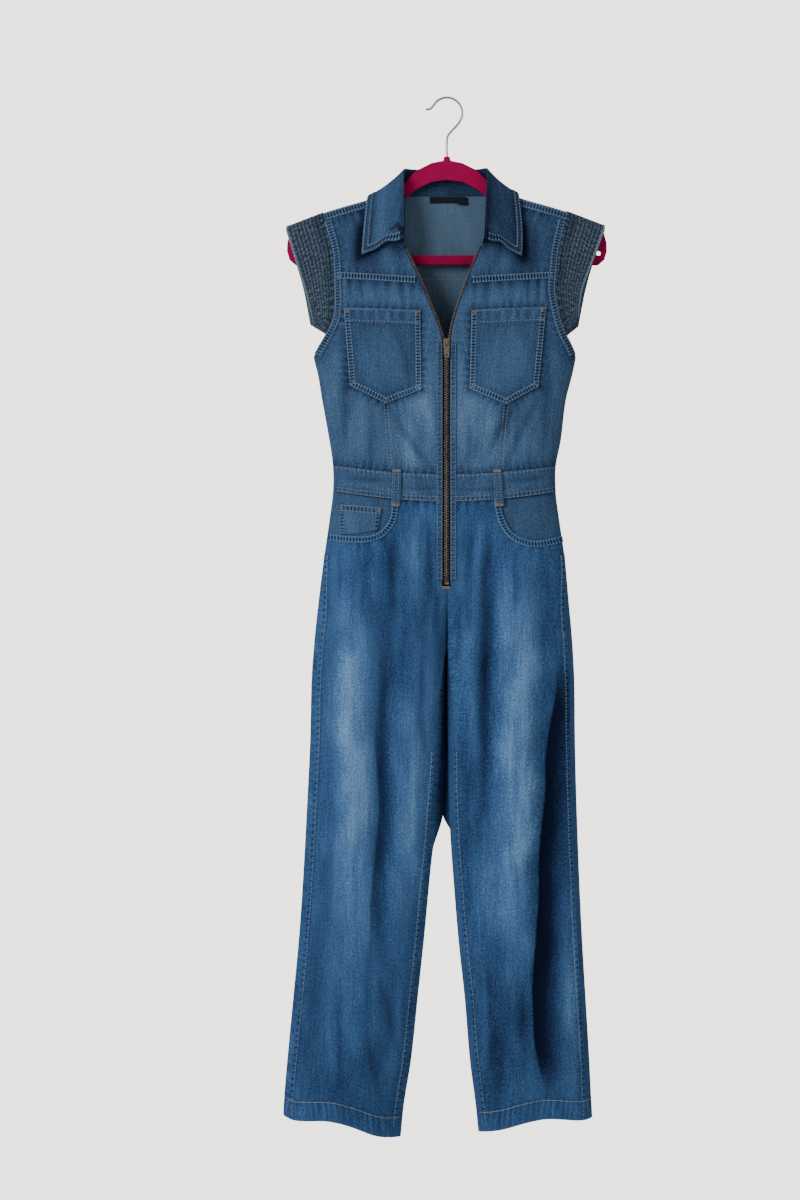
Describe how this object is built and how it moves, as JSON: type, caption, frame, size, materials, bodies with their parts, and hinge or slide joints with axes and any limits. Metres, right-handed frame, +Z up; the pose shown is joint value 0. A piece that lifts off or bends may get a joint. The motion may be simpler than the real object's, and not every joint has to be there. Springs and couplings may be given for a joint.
{
  "type": "denim jumpsuit on a hanger",
  "caption": "Denim jumpsuit with quilted cap sleeves, shirt collar, open front zip, chest pockets, waistband and wide legs, hung on a plain moulded hanger.",
  "frame": {"origin": "inside of the hook's top, where the hanger's hook rests on its nail or rail", "axes": "+Z up, +X to the right as seen from the front, +Y to the wall behind; millimetres in the solids"},
  "size_m": [0.4537, 0.0696, 1.458],
  "materials": {
    "denim": "washed blue denim twill with pale wear",
    "quilted_denim": "grey-blue denim, closely quilted",
    "zip_tape": "black woven tape",
    "zip_metal": "aged, dull",
    "label": "black woven, blank",
    "hanger_plastic": "magenta, fine matt flock",
    "hook_wire": "polished wire"
  },
  "bodies": {
    "garment": {"back_bodice": "denim", "back_yoke": "denim", "belt_loop_back_left": "denim", "belt_loop_back_middle": "denim", "belt_loop_back_right": "denim", "belt_loop_front_left": "denim", "belt_loop_front_right": "denim", "chest_pocket_left": "denim", "chest_pocket_right": "denim", "coin_pocket": "denim", "collar": "denim", "front_bodice_left": "denim", "front_bodice_right": "denim", "front_yoke_left": "denim", "front_yoke_right": "denim", "hanger": "hanger_plastic", "hanger_hook": "hook_wire", "leg_back_left": "denim", "leg_back_right": "denim", "leg_front_left": "denim", "leg_front_right": "denim", "neck_label": "label", "pocket_facing_left": "denim", "pocket_facing_right": "denim", "sleeve_left": "quilted_denim", "sleeve_right": "quilted_denim", "waistband_back": "denim", "waistband_front_left": "denim", "waistband_front_right": "denim", "zip_slider": "zip_metal", "zip_stop": "zip_metal", "zip_tape_left": "zip_tape", "zip_tape_right": "zip_tape", "zip_teeth_closed": "zip_metal", "zip_teeth_left": "zip_metal", "zip_teeth_right": "zip_metal"},
    "pull_tab": {"zip_pull_tab": "zip_metal"}
  },
  "joints": [
    {"name": "pull_tab_hinge", "type": "hinge", "parent": "garment", "child": "pull_tab", "pos_m": [-0.001, -0.03869, -0.3455], "axis": [-1, 0, 0], "range_deg": [0, 150]}
  ]
}
